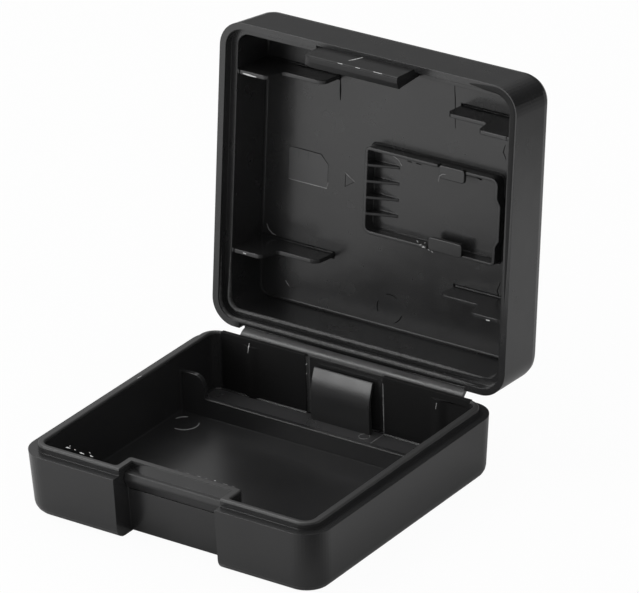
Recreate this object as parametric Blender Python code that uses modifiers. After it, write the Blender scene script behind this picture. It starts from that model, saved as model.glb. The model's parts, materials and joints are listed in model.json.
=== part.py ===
"""A hinged pocket case for one flat camera battery and one memory card, standing open on its base.

Metres, +Z up. The origin is the centre of the base's underside; +X runs along the hinge and -Y is
the latch side. The base stands square to the axes and the lid is swung back about two film hinges.
Every lid piece is drawn in the closed position, from the lid's own film hinge, and turned by its axis.
"""

import math

import bmesh
import bpy
from mathutils import Matrix, Vector

# Case shell
CASE_W = 0.0500
CASE_D = 0.0458
BASE_H = 0.0095
LID_H = 0.0104
CORNER_R = 0.0039
BASE_EDGE_R = 0.0017
LID_EDGE_R = 0.0028
BASE_DRAFT = 0.00047
LID_DRAFT = 0.00037
FLOOR_T = 0.0015
CEILING_T = 0.0014
SIDE_WALL = 0.0025
FRONT_WALL = 0.0023
BACK_WALL = 0.0020
LID_WALL = 0.0021
INNER_EDGE_R = 0.00035

# Mating rims
LIP_H = 0.0011
LIP_INSET = 0.0014
LIP_ROUND = 0.0003
RIM_W = 0.0010
REBATE_DEPTH = 0.0015
RIM_GAP = 0.0002

# Film hinge
FILM_OUT = 0.00015
FILM_DROP = 0.0012
STRIP_LEFT = -0.0199
STRIP_RIGHT = 0.0182
STRIP_BEAD_R = 0.0002
STRIP_BULGE = 0.00045
GROOVE_R = 0.00045
CHAMFER_IN = 0.00075
CHAMFER_DOWN = 0.0014
CHAMFER_OVER = 0.0002
OPEN_DEG = 96.1

# Latch
RECESS_HALF = 0.0085
RECESS_DEPTH = 0.0032
RECESS_DRAFT = 0.00055
RECESS_TURN = 0.0005
RECESS_RUN_OUT = (0.0010, -0.00045)
RECESS_WALL = 0.00225
RECESS_LIP = 0.0010
RECESS_CORNER_R = 0.0006
RECESS_ROOT_R = 0.0004
CATCH_TOP = 0.00045
CATCH_PROUD = 0.0011
CATCH_CREST = 0.0016
CATCH_H = 0.0024
CATCH_FADE = 0.0003
CATCH_SHOULDER = 0.0006
TAB_LEFT = -0.0083
TAB_RIGHT = 0.0080
TAB_TAPER = 0.0003
TAB_SETBACK = 0.00064
TAB_T = 0.0005
TAB_REACH = 0.00435
TAB_END_R = 0.0012
HOOK_IN = 0.00142
HOOK_TOP = 0.0010
HOOK_BACK = 0.0016
TAB_ROOT_H = 0.0019
TAB_ROOT_LOW = 0.0015
TAB_ROOT_TOE = 0.0007
TAB_FLEX = 0.0006
TAB_EDGE_R = 0.0002
SKIN_T = 0.0004

# Battery bay
CROSS_FROM_BACK = 0.0086
CROSS_T = 0.0008
CROSS_H = 0.0028
WEB_H = 0.0063
WEB_W = 0.0042
WEB_R = 0.0018
ALCOVE_HALF = 0.00665
ALCOVE_DEPTH = 0.0005
PAD_SINK = 0.00005
SPRING_HALF = 0.0050
SPRING_STAND = 0.0013
SPRING_T = 0.00062
SPRING_KNEE = 0.0059
SPRING_H = 0.0078
SPRING_LEAN = 0.00075
SPRING_FLEX = 0.0003
SPRING_FRONT_R = 0.0018
SPRING_BACK_R = 0.0024
SPRING_TIP_R = 0.00012
CRUSH_X = 0.0161
CRUSH_R = 0.0003
RIB_T = 0.0006
RIB_FRONT_IN = 0.0079
RIB_BACK_IN = 0.0109
RIB_HIGH_W = 0.0015
RIB_LOW_W = 0.0048
RIB_HIGH_LEN = 0.0046
RIB_LEN = 0.0121
RIB_STEP = 0.0007
RIB_STEP_R = 0.0008
RIB_FOOT_R = 0.0006
RIB_END_R = 0.0012

# Card pocket
POCKET_LEFT = -0.00385
POCKET_RIGHT = 0.0176
POCKET_BULGE = 0.00057
POCKET_BULGE_HALF = 0.0026
POCKET_BULGE_RUN = 0.0010
POCKET_LOW = 0.0168
POCKET_HIGH = 0.0289
POCKET_WALL = 0.00045
POCKET_H = 0.0020
POCKET_LOW_R = 0.0008
POCKET_HIGH_R = 0.0006
RAMP_T = 0.0004
RAMP_LEN = 0.0042
RAMP_LOW = 0.0019
RAMP_FIRST = 0.0193
RAMP_PITCH = 0.00243
CLIP_T = 0.0006
UPPER_CLIP = (0.0082, 0.01245)
LOWER_CLIP = (0.0069, 0.0125)
CLIP_REACH = 0.0015
CLIP_R = 0.0004

# Seats between pieces, and how far cutters pass a face and joined forms bite into each other
SEAT = 0.00025
SLOT_DEPTH = 0.0005
OVERRUN = 0.002
BITE = 0.0001
SMALL_R = 0.0003
EASE = 0.00008

CORNER_STEPS = 12
EDGE_STEPS = 5

# Positions that follow from the sizes above
IN_X = CASE_W / 2 - SIDE_WALL
IN_FRONT = -(CASE_D / 2 - FRONT_WALL)
IN_BACK = CASE_D / 2 - BACK_WALL
CEILING = LID_H - CEILING_T
LIP_TOP = BASE_H + LIP_H
CROSS_Y = IN_BACK - CROSS_FROM_BACK
SPRING_Y = IN_BACK - SPRING_STAND
RECESS_Y = -(CASE_D / 2 - RECESS_DEPTH)
RECESS_IN = RECESS_Y + RECESS_WALL
BASE_FILM = Vector((0.0, CASE_D / 2 + FILM_OUT, BASE_H - FILM_DROP))
STRIP_LEN = 2 * FILM_DROP + RIM_GAP
HALF_OPEN = math.radians(OPEN_DEG / 2)
LID_FILM = BASE_FILM + Vector((0.0, math.sin(HALF_OPEN), math.cos(HALF_OPEN))) * STRIP_LEN

bpy.ops.object.select_all(action="DESELECT")
for old in list(bpy.data.objects):
    bpy.data.objects.remove(old)
CASE = bpy.data.collections.new("battery_case")
HELPERS = bpy.data.collections.new("helpers")
bpy.context.scene.collection.children.link(CASE)
bpy.context.scene.collection.children.link(HELPERS)
HELPERS.hide_render = True


def lid_y(v):
    """Lid-frame y of a distance v from the hinge edge towards the latch edge."""
    return -(v + FILM_OUT)


def lid_z(w):
    """Lid-frame z of a distance w from the rim plane towards the lid's outer face."""
    return w - FILM_DROP


def rounded(corners, steps=5):
    """Outline through (a, b, radius) corners, each turned on its own radius."""
    outline = []
    for i, (a, b, radius) in enumerate(corners):
        here = Vector((a, b))
        back = (Vector(corners[i - 1][:2]) - here).normalized()
        ahead = (Vector(corners[(i + 1) % len(corners)][:2]) - here).normalized()
        if radius <= 0:
            outline.append((a, b))
            continue
        half = back.angle(ahead) / 2
        centre = here + (back + ahead).normalized() * (radius / math.sin(half))
        first = here + back * (radius / math.tan(half)) - centre
        last = here + ahead * (radius / math.tan(half)) - centre
        start = math.atan2(first.y, first.x)
        turn = math.atan2(last.y, last.x) - start
        turn = (turn + math.pi) % (2 * math.pi) - math.pi
        for k in range(steps + 1):
            angle = start + turn * k / steps
            outline.append((centre.x + radius * math.cos(angle), centre.y + radius * math.sin(angle)))
    return outline


def prism(axis, start, stop, *outlines):
    """Mesh of an outline, less any outlines inside it, carried along an axis from start to stop.

    The outlines are (y, z) along x, (x, z) along y and (x, y) along z. The curve is drawn in
    millimetres, where its fill is exact, and brought to metres afterwards.
    """
    curve = bpy.data.curves.new("outline", "CURVE")
    curve.dimensions = "2D"
    curve.fill_mode = "BOTH"
    curve.extrude = 500 * abs(stop - start)
    for outline in outlines:
        spline = curve.splines.new("POLY")
        spline.points.add(len(outline) - 1)
        spline.use_cyclic_u = True
        for point, (a, b) in zip(spline.points, outline):
            point.co = (1000 * a, 1000 * b, 0.0, 1.0)
    holder = bpy.data.objects.new("outline", curve)
    bpy.context.scene.collection.objects.link(holder)
    graph = bpy.context.evaluated_depsgraph_get()
    mesh = bpy.data.meshes.new_from_object(holder.evaluated_get(graph))
    bpy.data.objects.remove(holder)
    bm = bmesh.new()
    bm.from_mesh(mesh)
    bmesh.ops.remove_doubles(bm, verts=bm.verts, dist=0.0005)
    columns = {"x": ((0, 0, 1), (1, 0, 0), (0, 1, 0)),
               "y": ((1, 0, 0), (0, 0, 1), (0, 1, 0)),
               "z": ((1, 0, 0), (0, 1, 0), (0, 0, 1))}[axis]
    turn = Matrix(columns).to_4x4()
    middle = Vector([(start + stop) / 2 if name == axis else 0.0 for name in "xyz"])
    bm.transform(Matrix.Translation(middle) @ turn @ Matrix.Scale(0.001, 4))
    return mesh_of(bm)


def mesh_of(bm):
    """Mesh with all faces turned outwards."""
    bmesh.ops.recalc_face_normals(bm, faces=bm.faces)
    if bm.calc_volume(signed=True) < 0:
        bmesh.ops.reverse_faces(bm, faces=bm.faces)
    mesh = bpy.data.meshes.new("shape")
    bm.to_mesh(mesh)
    bm.free()
    return mesh


def box(low, high):
    bm = bmesh.new()
    bmesh.ops.create_cube(bm, size=1.0)
    for vert in bm.verts:
        vert.co = [low[i] if vert.co[i] < 0 else high[i] for i in range(3)]
    return mesh_of(bm)


def shell_block(low, high, corner, edge, draft=0.0, edge_up=False):
    """Box with turned upright corners, drafted towards its bottom or top face, whose edge is turned too."""
    bm = bmesh.new()
    bmesh.ops.create_cube(bm, size=1.0)
    for vert in bm.verts:
        inset = draft if (vert.co.z > 0) == edge_up else 0.0
        x = low[0] + inset if vert.co.x < 0 else high[0] - inset
        y = low[1] + inset if vert.co.y < 0 else high[1] - inset
        vert.co = (x, y, low[2] if vert.co.z < 0 else high[2])
    upright = [e for e in bm.edges if abs(e.verts[0].co.z - e.verts[1].co.z) > 0.5 * (high[2] - low[2])]
    bmesh.ops.bevel(bm, geom=upright, offset=corner, segments=CORNER_STEPS, profile=0.5, affect="EDGES")
    if edge > 0:
        level = high[2] if edge_up else low[2]
        rim = [e for e in bm.edges if all(abs(v.co.z - level) < 1e-6 for v in e.verts)]
        bmesh.ops.bevel(bm, geom=rim, offset=edge, segments=EDGE_STEPS, profile=0.5, affect="EDGES")
    return mesh_of(bm)


def cylinder(axis, centre, radius, start, stop, steps=16):
    """Cylinder along x or z."""
    bm = bmesh.new()
    depth = stop - start
    bmesh.ops.create_cone(bm, cap_ends=True, segments=steps, radius1=radius, radius2=radius, depth=depth)
    if axis == "x":
        bm.transform(Matrix.Rotation(math.pi / 2, 4, "Y"))
    middle = Vector(centre)
    middle["xyz".index(axis)] = (start + stop) / 2
    bm.transform(Matrix.Translation(middle))
    return mesh_of(bm)


def material(name, tone, rough):
    made = bpy.data.materials.new(name)
    made.use_nodes = True
    shader = made.node_tree.nodes["Principled BSDF"]
    shader.inputs["Base Color"].default_value = (tone, tone, tone * 1.03, 1.0)
    shader.inputs["Roughness"].default_value = rough
    made.diffuse_color = (tone * 4, tone * 4, tone * 4.2, 1.0)
    return made


def combine(target, mesh, operation):
    """Gives the target a Boolean with the mesh, which is kept as a hidden helper."""
    helper = bpy.data.objects.new(f"{target.name}_helper", mesh)
    HELPERS.objects.link(helper)
    helper.hide_render = True
    helper.display_type = "WIRE"
    helper.parent = target.parent
    helper.matrix_basis = target.matrix_basis
    modifier = target.modifiers.new(operation.lower(), "BOOLEAN")
    modifier.operation = operation
    modifier.solver = "EXACT"
    modifier.object = helper


def piece(name, mesh, parent=None, cuts=(), joins=(), tone=0.03, rough=0.32, ease=0.0):
    """One named piece, joined and cut, with its edges eased where asked."""
    made = bpy.data.objects.new(name, mesh)
    CASE.objects.link(made)
    made.parent = parent
    mesh.materials.append(material(name, tone, rough))
    if ease > 0:
        bevel = made.modifiers.new("eased_edges", "BEVEL")
        bevel.width = ease
        bevel.segments = 2
        bevel.limit_method = "ANGLE"
        bevel.angle_limit = math.radians(50)
    for other in joins:
        combine(made, other, "UNION")
    for other in cuts:
        combine(made, other, "DIFFERENCE")
    return made


def axis_empty(name, place, degrees):
    made = bpy.data.objects.new(name, None)
    CASE.objects.link(made)
    made.location = place
    made.rotation_euler = (-math.radians(degrees), 0.0, 0.0)
    return made


def loft(rings):
    """Closed mesh through rings of points that run the same way round."""
    bm = bmesh.new()
    rows = [[bm.verts.new(point) for point in ring] for ring in rings]
    for near, far in zip(rows, rows[1:]):
        for i, vert in enumerate(near):
            bm.faces.new((near[i - 1], vert, far[i], far[i - 1]))
    bm.faces.new(rows[0])
    bm.faces.new(rows[-1])
    bmesh.ops.triangulate(bm, faces=bm.faces)
    return mesh_of(bm)


def hinge_chamfer(edge_y, plane_z, up, out):
    """Cutter for the bevelled hinge edge of a wall; up is +1 where the rim plane lies above the wall."""
    slope = CHAMFER_DOWN / CHAMFER_IN
    near = (edge_y - out * (CHAMFER_IN + CHAMFER_OVER), plane_z + up * CHAMFER_OVER * slope)
    far = (edge_y + out * CHAMFER_OVER * 2, plane_z - up * (CHAMFER_DOWN + CHAMFER_OVER * 2 * slope))
    side = edge_y + out * OVERRUN
    outline = [near, far, (side, far[1]), (side, near[1])]
    return prism("x", STRIP_LEFT - SEAT, STRIP_RIGHT + SEAT, outline)


def bay_plan(grow, level):
    """Ring of the battery bay at one level, moved outwards by grow, passing round the back of the recess."""
    x = IN_X + grow
    front = IN_FRONT - grow
    back = IN_BACK + grow
    step = RECESS_HALF + RECESS_LIP - grow
    corner = CORNER_R - SIDE_WALL + grow
    jog = RECESS_CORNER_R - grow
    root = RECESS_ROOT_R + grow
    outline = rounded([
        (-x, back, corner), (x, back, corner), (x, front, corner), (step, front, root),
        (step, RECESS_IN - grow, jog), (-step, RECESS_IN - grow, jog), (-step, front, root),
        (-x, front, corner)])
    return [(a, b, level) for a, b in outline]


def battery_bay():
    """Cutter of the bay, with a turned floor edge and a mouth that flares over the top of the lip."""
    rings = []
    for degrees in (0, 30, 60, 90):
        turn = math.radians(degrees)
        level = FLOOR_T + INNER_EDGE_R * (1 - math.cos(turn))
        rings.append(bay_plan(-INNER_EDGE_R * (1 - math.sin(turn)), level))
    for degrees in (0, 25, 50, 75):
        turn = math.radians(degrees)
        level = LIP_TOP - LIP_ROUND * (1 - math.sin(turn))
        rings.append(bay_plan(LIP_ROUND * (1 - math.cos(turn)), level))
    rings.append(bay_plan(LIP_ROUND * 1.2, LIP_TOP + LIP_ROUND * 0.15))
    rings.append(bay_plan(LIP_ROUND * 1.2, LIP_TOP + OVERRUN))
    return loft(rings)


def base_tray():
    front, back = -CASE_D / 2, CASE_D / 2
    low = (-CASE_W / 2, front, 0.0)
    high = (CASE_W / 2, back, BASE_H)
    body = shell_block(low, high, CORNER_R, BASE_EDGE_R, BASE_DRAFT)
    lip = shell_block(
        (-CASE_W / 2 + LIP_INSET, front + LIP_INSET, BASE_H - LIP_H),
        (CASE_W / 2 - LIP_INSET, back - LIP_INSET, LIP_TOP),
        CORNER_R - LIP_INSET, LIP_ROUND, edge_up=True)
    alcove = box((-ALCOVE_HALF, CROSS_Y + CROSS_T, FLOOR_T - PAD_SINK),
                 (ALCOVE_HALF, IN_BACK + ALCOVE_DEPTH, LIP_TOP + OVERRUN))
    turn = RECESS_TURN
    middle = RECESS_Y + RECESS_DRAFT + turn
    arc = [(middle - turn * math.cos(math.radians(a)), turn - turn * math.sin(math.radians(a)))
           for a in (0, 22, 45, 66)]
    run_out = (arc[-1][0] + RECESS_RUN_OUT[0], arc[-1][1] + RECESS_RUN_OUT[1])
    before = front - OVERRUN
    over = LIP_TOP + OVERRUN
    ledge = RECESS_IN - RECESS_LIP
    recess = prism("x", -RECESS_HALF, RECESS_HALF, [
        (RECESS_Y, BASE_H), *arc, run_out, (run_out[0], -OVERRUN), (before, -OVERRUN), (before, over),
        (ledge, over), (ledge, BASE_H)])
    catch_slot = box((-RECESS_HALF + BITE, RECESS_Y - OVERRUN, BASE_H - CATCH_H - SEAT),
                     (RECESS_HALF - BITE, RECESS_Y + SLOT_DEPTH, BASE_H - CATCH_SHOULDER))
    cross_slot = box((-IN_X - BITE / 5, CROSS_Y - SEAT, FLOOR_T - SLOT_DEPTH),
                     (IN_X + BITE / 5, CROSS_Y + CROSS_T + SEAT, FLOOR_T + INNER_EDGE_R + BITE))
    spring_slot = box((-SPRING_HALF - SEAT, SPRING_Y - SEAT, FLOOR_T - SLOT_DEPTH),
                      (SPRING_HALF + SEAT, SPRING_Y + SPRING_T + SEAT, FLOOR_T + INNER_EDGE_R))
    film = cylinder("x", BASE_FILM, GROOVE_R, STRIP_LEFT - SEAT, STRIP_RIGHT + SEAT)
    crush = [cylinder("z", (x, IN_BACK + BITE / 2, 0.0), CRUSH_R, FLOOR_T - BITE, BASE_H - BITE, 8)
             for x in (-CRUSH_X, CRUSH_X)]
    tray = piece("base_tray", body, tone=0.028, rough=0.3)
    combine(tray, lip, "UNION")
    for cutter in (battery_bay(), alcove, recess, catch_slot, cross_slot, spring_slot, film,
                   hinge_chamfer(back, BASE_H, 1, 1)):
        combine(tray, cutter, "DIFFERENCE")
    for rib in crush:
        combine(tray, rib, "UNION")


def cross_wall():
    end = IN_X - SEAT
    inner = IN_X - WEB_W
    foot = FLOOR_T - SEAT
    low = FLOOR_T + CROSS_H
    high = FLOOR_T + WEB_H
    outline = rounded([
        (-end, foot, 0.0), (end, foot, 0.0), (end, high, 0.0), (inner, high, WEB_R), (inner, low, SMALL_R),
        (-inner, low, SMALL_R), (-inner, high, WEB_R), (-end, high, 0.0)])
    piece("rear_cross_wall", prism("y", CROSS_Y, CROSS_Y + CROSS_T, outline), ease=EASE)


def spring_tongue():
    """The tongue that presses on the battery, drawn from its flexing line just above the floor."""
    root = FLOOR_T + SPRING_FLEX
    foot = FLOOR_T - SEAT - root
    knee = SPRING_KNEE + FLOOR_T - root
    top = SPRING_H + FLOOR_T - root
    half = SPRING_T / 2
    lean = SPRING_LEAN
    outline = rounded([
        (-half, foot, 0.0), (half, foot, 0.0), (half, knee + BITE, SPRING_FRONT_R),
        (half + lean - BITE, top, SPRING_TIP_R), (-half + lean, top, SPRING_TIP_R),
        (-half, knee, SPRING_BACK_R)])
    tongue = piece("battery_spring", prism("x", -SPRING_HALF, SPRING_HALF, outline), tone=0.035, rough=0.3)
    tongue.location = (0.0, SPRING_Y + half, root)


def latch_catch():
    """The ridge under the recess's ledge that the hook snaps below, a little less proud to the right."""
    end = RECESS_HALF - SEAT
    low = BASE_H - CATCH_H
    inner = SLOT_DEPTH - SEAT
    shoulder = BASE_H - CATCH_SHOULDER - SEAT
    rings = []
    for x, proud in ((-end, CATCH_PROUD), (end, CATCH_PROUD - CATCH_FADE)):
        section = rounded([
            (-SEAT, BASE_H, 0.0), (-CATCH_TOP, BASE_H, SMALL_R / 2),
            (-proud, BASE_H - CATCH_CREST, SMALL_R), (-SEAT - BITE, low, 0.0), (inner, low, 0.0),
            (inner, shoulder, 0.0), (-SEAT, shoulder, 0.0)], 4)
        rings.append([(x, RECESS_Y + y, z) for y, z in section])
    piece("latch_catch", loft(rings))


def hinge_strip():
    """The strap between the two films, drawn upright from the base film with its bulge inwards."""
    bead = STRIP_BEAD_R
    outline = []
    for step in range(7):
        angle = -math.pi * step / 6
        outline.append((bead * math.cos(angle), bead * math.sin(angle)))
    for step in range(1, 8):
        share = step / 8
        swell = (STRIP_BULGE - bead) * math.sin(math.pi * share)
        outline.append((-bead - swell, STRIP_LEN * share))
    for step in range(7):
        angle = math.pi - math.pi * step / 6
        outline.append((bead * math.cos(angle), STRIP_LEN + bead * math.sin(angle)))
    strip = piece("hinge_strip", prism("x", STRIP_LEFT, STRIP_RIGHT, outline), tone=0.04, rough=0.28)
    strip.location = BASE_FILM
    strip.rotation_euler = (-HALF_OPEN, 0.0, 0.0)


def pocket_outline(grow):
    """Card pocket outline moved outwards by grow, as (x, y) in the lid's frame, swelling at its right."""
    left = POCKET_LEFT - grow
    right = POCKET_RIGHT + grow
    low = lid_y(POCKET_LOW - grow)
    high = lid_y(POCKET_HIGH + grow)
    small = SMALL_R + grow
    middle = (low + high) / 2
    swell = right + POCKET_BULGE
    near = POCKET_BULGE_HALF
    far = POCKET_BULGE_HALF + POCKET_BULGE_RUN
    return rounded([
        (left, low, POCKET_LOW_R + grow), (right, low, small), (right, middle + far, 0.0),
        (swell, middle + near, 0.0), (swell, middle - near, 0.0), (right, middle - far, 0.0),
        (right, high, POCKET_HIGH_R + grow), (left, high, small)], 4)


def rib_spans():
    """Name, side and distance from the hinge of the four hold-down ribs."""
    return [("hold_down_rib_front_left", -1, CASE_D - RIB_FRONT_IN),
            ("hold_down_rib_front_right", 1, CASE_D - RIB_FRONT_IN),
            ("hold_down_rib_rear_left", -1, RIB_BACK_IN),
            ("hold_down_rib_rear_right", 1, RIB_BACK_IN)]


def lid_shell(axis):
    front = lid_y(CASE_D)
    back = lid_y(0.0)
    half = CASE_W / 2
    outside = shell_block((-half, front, lid_z(0.0)), (half, back, lid_z(LID_H)),
                          CORNER_R, LID_EDGE_R, LID_DRAFT, edge_up=True)
    shell = piece("lid_shell", outside, axis, rough=0.3)
    rebate = shell_block((-half + RIM_W, front + RIM_W, lid_z(-OVERRUN)),
                         (half - RIM_W, back - RIM_W, lid_z(REBATE_DEPTH)), CORNER_R - RIM_W, 0.0)
    hollow = shell_block((-half + LID_WALL, front + LID_WALL, lid_z(-OVERRUN * 1.5)),
                         (half - LID_WALL, back - LID_WALL, lid_z(CEILING)),
                         CORNER_R - LID_WALL, INNER_EDGE_R, edge_up=True)
    notch = box((TAB_LEFT - SEAT, lid_y(CASE_D - SKIN_T), lid_z(-OVERRUN)),
                (TAB_RIGHT - TAB_TAPER + SEAT, lid_y(CASE_D - LID_WALL - OVERRUN), lid_z(TAB_ROOT_H + SEAT)))
    film = cylinder("x", (0.0, 0.0, 0.0), GROOVE_R, STRIP_LEFT - SEAT, STRIP_RIGHT + SEAT)
    cuts = [rebate, hollow, notch, film, hinge_chamfer(back, lid_z(0.0), -1, 1)]
    top = lid_z(CEILING + SLOT_DEPTH)
    low = lid_z(CEILING - INNER_EDGE_R - BITE)
    wall = half - LID_WALL
    for _, side, v in rib_spans():
        ends = sorted((side * (wall + BITE / 5), side * (IN_X - RIB_LEN - SEAT)))
        near = lid_y(v + RIB_T / 2 + SEAT)
        far = lid_y(v - RIB_T / 2 - SEAT)
        cuts.append(box((ends[0], near, low), (ends[1], far, top)))
    cuts.append(prism("z", lid_z(CEILING - SMALL_R), top, pocket_outline(POCKET_WALL + SEAT)))
    for cutter in cuts:
        combine(shell, cutter, "DIFFERENCE")


def latch_tab(axis):
    """The sprung blade and hook, drawn from the line it flexes about at the root, with a round left end."""
    flex_v = CASE_D - TAB_SETBACK - TAB_T / 2
    flex_w = TAB_FLEX
    inner = -TAB_T / 2
    root_in = CASE_D - LID_WALL + BITE - flex_v
    tip = -TAB_REACH - flex_w
    hook = inner - HOOK_IN
    section = rounded([
        (TAB_T / 2, TAB_ROOT_H - flex_w, 0.0), (root_in, TAB_ROOT_H - flex_w, 0.0),
        (root_in, TAB_ROOT_LOW - flex_w, 0.0), (inner, TAB_ROOT_TOE - flex_w, 0.0),
        (inner, tip + HOOK_BACK, SMALL_R), (hook, tip + HOOK_TOP, TAB_EDGE_R), (hook, tip, TAB_EDGE_R),
        (TAB_T / 2, tip, TAB_EDGE_R)], 3)
    middle = (TAB_T / 2 + hook) / 2
    rings = []
    for degrees in (20, 40, 60, 75, 90):
        full = math.sin(math.radians(degrees))
        ring = []
        for v, w in section:
            near_tip = min(1.0, max(0.0, (flex_w - w) / TAB_REACH)) ** 2
            squeeze = 1 - (1 - full) * near_tip
            x = TAB_LEFT + TAB_END_R * (1 - math.cos(math.radians(degrees)))
            ring.append((x, -(middle + (v - middle) * squeeze), max(w, tip + TAB_END_R * (1 - full))))
        rings.append(ring)
    rings.append([
        (TAB_RIGHT - TAB_TAPER * min(1.0, (w - tip) / TAB_REACH), -v, w) for v, w in section])
    blade = piece("latch_tab", loft(rings), axis, tone=0.035, rough=0.34)
    blade.location = (0.0, lid_y(flex_v), lid_z(flex_w))


def hold_down_ribs(axis):
    """Four plates under the lid that stop the battery rattling, stepped up at the side walls."""
    wall = CASE_W / 2 - LID_WALL - SEAT
    foot = lid_z(CEILING + SLOT_DEPTH - SEAT)
    high = lid_z(RIB_HIGH_W)
    low = lid_z(RIB_LOW_W)
    for name, side, v in rib_spans():
        inner = IN_X - RIB_HIGH_LEN
        end = IN_X - RIB_LEN
        outline = [(side * a, b, r) for a, b, r in [
            (wall, foot, 0.0), (wall, high, SMALL_R), (inner, high, RIB_STEP_R),
            (inner - RIB_STEP, low, RIB_FOOT_R), (end, low, RIB_END_R), (end - BITE, foot, 0.0)]]
        plate = prism("y", lid_y(v + RIB_T / 2), lid_y(v - RIB_T / 2), rounded(outline, 4))
        piece(name, plate, axis, ease=EASE)


def card_pocket(axis):
    """The card's frame with its thin floor and four ramps, and the two clips that overhang the card."""
    foot = lid_z(CEILING + SLOT_DEPTH - SEAT)
    floor = lid_z(CEILING)
    high = lid_z(CEILING - POCKET_H)
    frame = piece("card_frame", prism("z", high, foot, pocket_outline(POCKET_WALL)), axis)
    combine(frame, prism("z", high - OVERRUN, floor, pocket_outline(0.0)), "DIFFERENCE")
    ramp_foot = floor + BITE
    for index in range(4):
        v = RAMP_FIRST + RAMP_PITCH * index
        start = POCKET_LEFT - POCKET_WALL * 0.6
        end = POCKET_LEFT + RAMP_LEN
        outline = [(start, high + BITE / 3), (POCKET_LEFT + BITE, high + BITE / 3),
                   (end, high + RAMP_LOW), (end, ramp_foot), (start, ramp_foot)]
        combine(frame, prism("y", lid_y(v + RAMP_T / 2), lid_y(v - RAMP_T / 2), outline), "UNION")
    spans = (("card_clip_upper", UPPER_CLIP, POCKET_HIGH, 1), ("card_clip_lower", LOWER_CLIP, POCKET_LOW, -1))
    for name, (left, right), wall, out in spans:
        inner = wall - out * CLIP_REACH
        outer = wall + out * POCKET_WALL
        sides = sorted((lid_y(inner), lid_y(outer)))
        ends = sorted((lid_y(wall - out * OVERRUN), lid_y(outer + out * OVERRUN)))
        gap = box((left - SEAT, ends[0], high - OVERRUN), (right + SEAT, ends[1], high + CLIP_T + SEAT))
        combine(frame, gap, "DIFFERENCE")
        outline = rounded([
            (left, sides[0], CLIP_R), (right, sides[0], CLIP_R), (right, sides[1], CLIP_R),
            (left, sides[1], CLIP_R)], 3)
        piece(name, prism("z", high, high + CLIP_T, outline), axis, ease=EASE)


base_tray()
cross_wall()
spring_tongue()
latch_catch()
hinge_strip()
LID_AXIS = axis_empty("lid_axis", LID_FILM, OPEN_DEG)
lid_shell(LID_AXIS)
latch_tab(LID_AXIS)
hold_down_ribs(LID_AXIS)
card_pocket(LID_AXIS)
bpy.context.view_layer.update()
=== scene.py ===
"""Looks of the hinged battery case: moulded black plastic, soft studio light and the photo's camera.

The frame is in metres. The forms drawn here are in millimetres, as (x, y, z) on the base and as
(x, v, w) on the lid, where v runs from the hinge edge to the latch edge and w from the rim plane to
the lid's outer face. They are what is too fine or too soft for the solids: fillets, films, the
rounded tongue, hook and ridge, mould marks and wear, and skins and threads of painted shade and
painted highlights.
"""

import json
import math

import bmesh
import bpy
from mathutils import Matrix, Vector

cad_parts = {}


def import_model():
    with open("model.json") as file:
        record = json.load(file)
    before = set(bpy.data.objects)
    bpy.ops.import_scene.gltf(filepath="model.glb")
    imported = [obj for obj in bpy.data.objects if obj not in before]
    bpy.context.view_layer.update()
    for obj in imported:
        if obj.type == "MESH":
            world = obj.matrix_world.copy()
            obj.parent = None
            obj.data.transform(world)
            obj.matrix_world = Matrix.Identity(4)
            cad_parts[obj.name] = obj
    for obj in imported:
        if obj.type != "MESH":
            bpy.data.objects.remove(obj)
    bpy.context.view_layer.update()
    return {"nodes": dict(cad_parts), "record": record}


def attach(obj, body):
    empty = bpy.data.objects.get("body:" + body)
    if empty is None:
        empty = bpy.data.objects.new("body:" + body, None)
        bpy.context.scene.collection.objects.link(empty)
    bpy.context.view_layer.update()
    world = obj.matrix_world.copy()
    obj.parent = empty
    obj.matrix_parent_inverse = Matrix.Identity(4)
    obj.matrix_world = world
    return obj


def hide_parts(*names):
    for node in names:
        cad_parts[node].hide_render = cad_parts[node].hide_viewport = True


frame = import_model()

# Camera, fitted to the photo's straight edges
IMAGE = (639, 593)
FOCAL_PX = 6106.36
VIEW_AZ = math.radians(35.1946)
VIEW_EL = math.radians(25.624)
VIEW_ROLL = math.radians(-1.707)
VIEW_DISTANCE = 0.85317
ORIGIN_PX = (261.5535, 490.9026)
SENSOR_W = 36.0
CLIP_START = 0.02

# Studio: the floor's painted shade changes over distances measured along FLOOR_AXIS, in metres,
# and a painted shadow darkens a round patch before the near corner
FLOOR_HALF = 1.5
FLOOR_DROP = 0.00002
FLOOR_WHITE = 0.96
FLOOR_AXIS = (0.52, 0.85, 0.0)
NEAR_PAINTED_SHADE_TONES = (0.93, 0.52)
NEAR_PAINTED_SHADE_FADE = (-0.13, 0.0)
FAR_PAINTED_SHADE_TONES = (1.0, 0.4)
FAR_PAINTED_SHADE_FADE = (0.115, 0.165)
PAINTED_SHADOW_SPOT = (0.043, -0.036, 0.0)
PAINTED_SHADOW_SPOT_R = (0.006, 0.030)
PAINTED_SHADOW_SPOT_TONE = 0.15
SKY_AXIS = (-0.45, 0.1, 0.9)
SKY_POWER = 3.0
SKY_TOP = 1.6
HIGH_KEY = (-0.52, -0.065, 0.852)
HIGH_WATTS = 2.8
LOW_KEY = (-0.52, -0.83, 0.20)
LOW_WATTS = 3.5
KEY_SIZE = 0.42

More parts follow.
